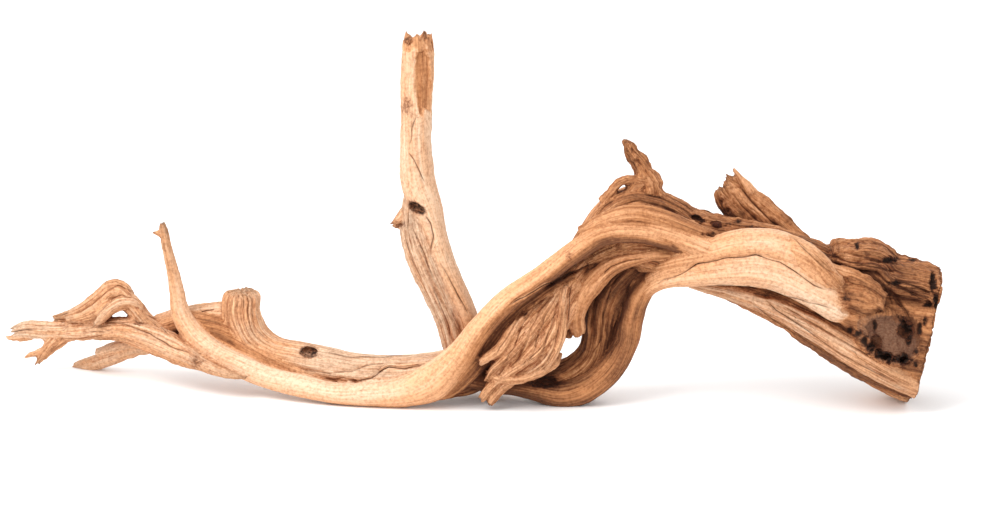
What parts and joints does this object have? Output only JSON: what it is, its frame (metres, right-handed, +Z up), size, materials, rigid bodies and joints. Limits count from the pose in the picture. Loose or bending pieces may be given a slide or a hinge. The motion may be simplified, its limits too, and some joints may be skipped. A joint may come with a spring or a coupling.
{
  "type": "piece of driftwood",
  "caption": "Bleached vine driftwood with a sawn trunk end, an arched back, a hanging loop, an upright branch and forked twigs, resting on worn flats.",
  "frame": {"origin": "middle of the base of the bounding box, on the surface that the wood rests on", "axes": "+X from the twigs towards the sawn end, +Y towards the back, +Z up"},
  "size_m": [0.7647, 0.1684, 0.295],
  "materials": {
    "wood": "dry, weathered and sandblasted, pale on the worn ridges and dark in the rot holes"
  },
  "bodies": {
    "root": {"driftwood": "wood"}
  },
  "joints": []
}
